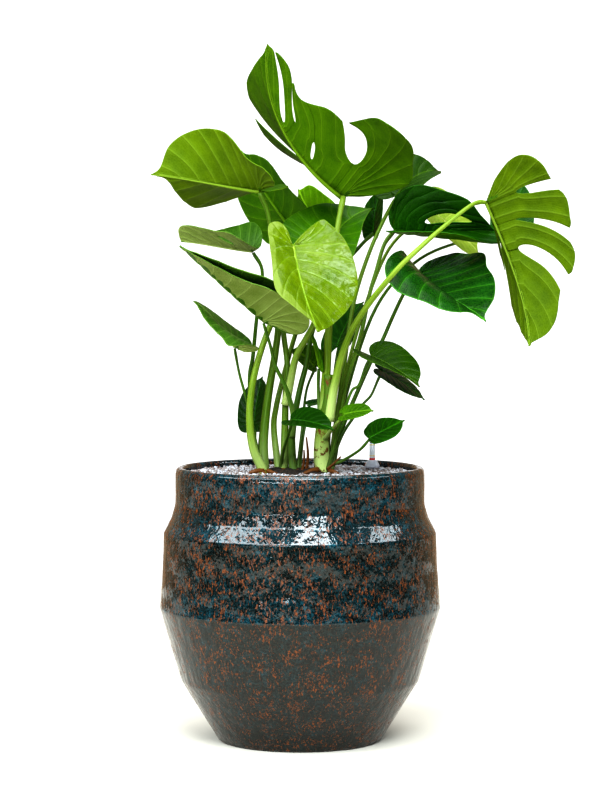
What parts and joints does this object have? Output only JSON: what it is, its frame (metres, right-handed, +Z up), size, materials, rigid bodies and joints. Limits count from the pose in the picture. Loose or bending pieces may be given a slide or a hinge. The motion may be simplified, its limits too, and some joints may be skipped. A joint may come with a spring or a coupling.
{
  "type": "potted swiss cheese plant",
  "caption": "Bushy split-leaf houseplant with long arching stalks and slotted heart-shaped leaves, in a round shouldered glazed pot with a pale pumice top layer.",
  "frame": {"origin": "centre of the flat foot that the pot stands on", "axes": "+Z up along the pot's axis, +X to the right and -Y towards the viewer of the front"},
  "size_m": [0.5203, 0.352, 0.8658],
  "materials": {
    "glaze": "glossy dark teal reactive glaze with rust speckles",
    "soil": "rough, dark, moist potting soil",
    "pumice": "rough pale porous grains",
    "gauge_clear": "clear, glossy",
    "gauge_grey": "glossy grey",
    "stalk": "smooth, satin, light green",
    "stalk_dark": "smooth, satin, dark green",
    "leaf_light": "matt yellow-green underside",
    "leaf_dark": "glossy dark green upper face",
    "leaf_grey": "matt greyish green underside",
    "leaf_new": "glossy fresh yellow-green"
  },
  "bodies": {
    "root": {"pot": "glaze", "soil": "soil", "pumice": "pumice", "gauge_tube": "gauge_clear", "gauge_collar": "gauge_grey", "left_shoot": "stalk", "middle_shoot": "stalk", "centre_shoot": "stalk_dark", "main_shoot": "stalk", "leaf_top": "leaf_light", "leaf_left": "leaf_light", "leaf_left_back": "leaf_dark", "leaf_left_low": "leaf_light", "leaf_grey": "leaf_grey", "leaf_left_small": "leaf_grey", "leaf_new": "leaf_new", "leaf_middle": "leaf_dark", "leaf_back_top": "leaf_dark", "leaf_right_top": "leaf_dark", "leaf_right_back": "leaf_dark", "leaf_right_dark": "leaf_dark", "leaf_right_light": "leaf_light", "leaf_heart": "leaf_dark", "leaf_right": "leaf_light", "leaf_right_small": "leaf_dark", "leaf_right_narrow": "leaf_dark", "leaf_stub": "leaf_light", "leaf_gauge_side": "leaf_dark", "leaf_centre_small": "leaf_dark", "leaf_low_left": "leaf_dark", "leaf_low_back": "leaf_dark", "leaf_dark_back": "leaf_dark", "leaf_far_right": "leaf_dark", "leaf_edge_on": "leaf_dark", "leaf_behind_stem": "leaf_dark"}
  },
  "joints": []
}
